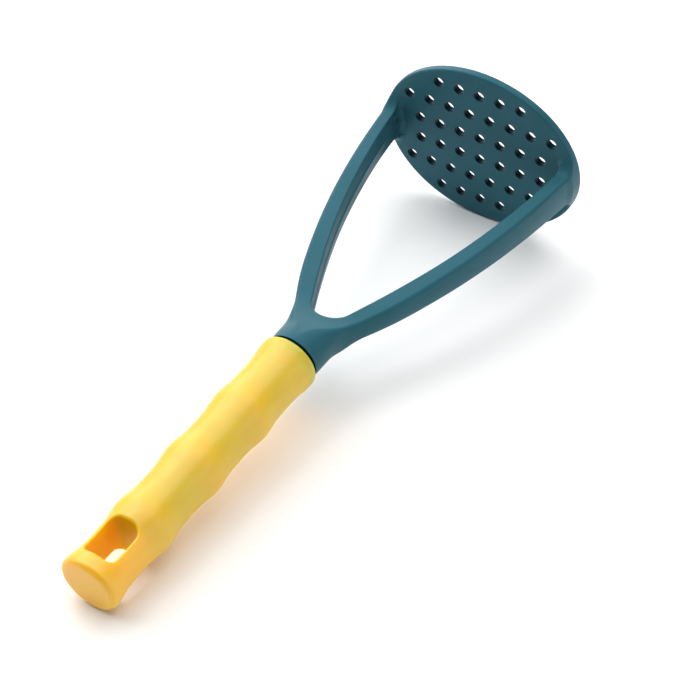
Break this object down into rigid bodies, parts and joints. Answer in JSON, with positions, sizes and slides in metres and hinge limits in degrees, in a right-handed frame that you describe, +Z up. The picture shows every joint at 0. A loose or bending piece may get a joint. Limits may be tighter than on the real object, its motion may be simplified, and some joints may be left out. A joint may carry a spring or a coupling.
{
  "type": "potato masher",
  "caption": "Hand potato masher: perforated oval plate on a two-armed nylon fork, with a bamboo-noded soft grip and a hanging slot.",
  "frame": {"origin": "centre of the bottom of the bounding box: the masher lies at rest on z = 0, on its butt and on the rim of its plate", "axes": "+X from the butt towards the plate along the level, +Y across the fork, the plate's long way, +Z up; the handle's axis rises 5.8 degrees towards the plate"},
  "size_m": [0.2772, 0.095, 0.0789],
  "materials": {
    "teal_nylon": "semi-gloss moulded nylon, dark teal, faint moulded grain",
    "natural_polypropylene": "unpigmented moulded polypropylene, hidden inside the grip",
    "yellow_elastomer": "matte soft-touch elastomer, warm yellow"
  },
  "bodies": {
    "root": {"masher_head": "teal_nylon", "handle_core": "natural_polypropylene", "grip_sleeve": "yellow_elastomer"}
  },
  "joints": []
}
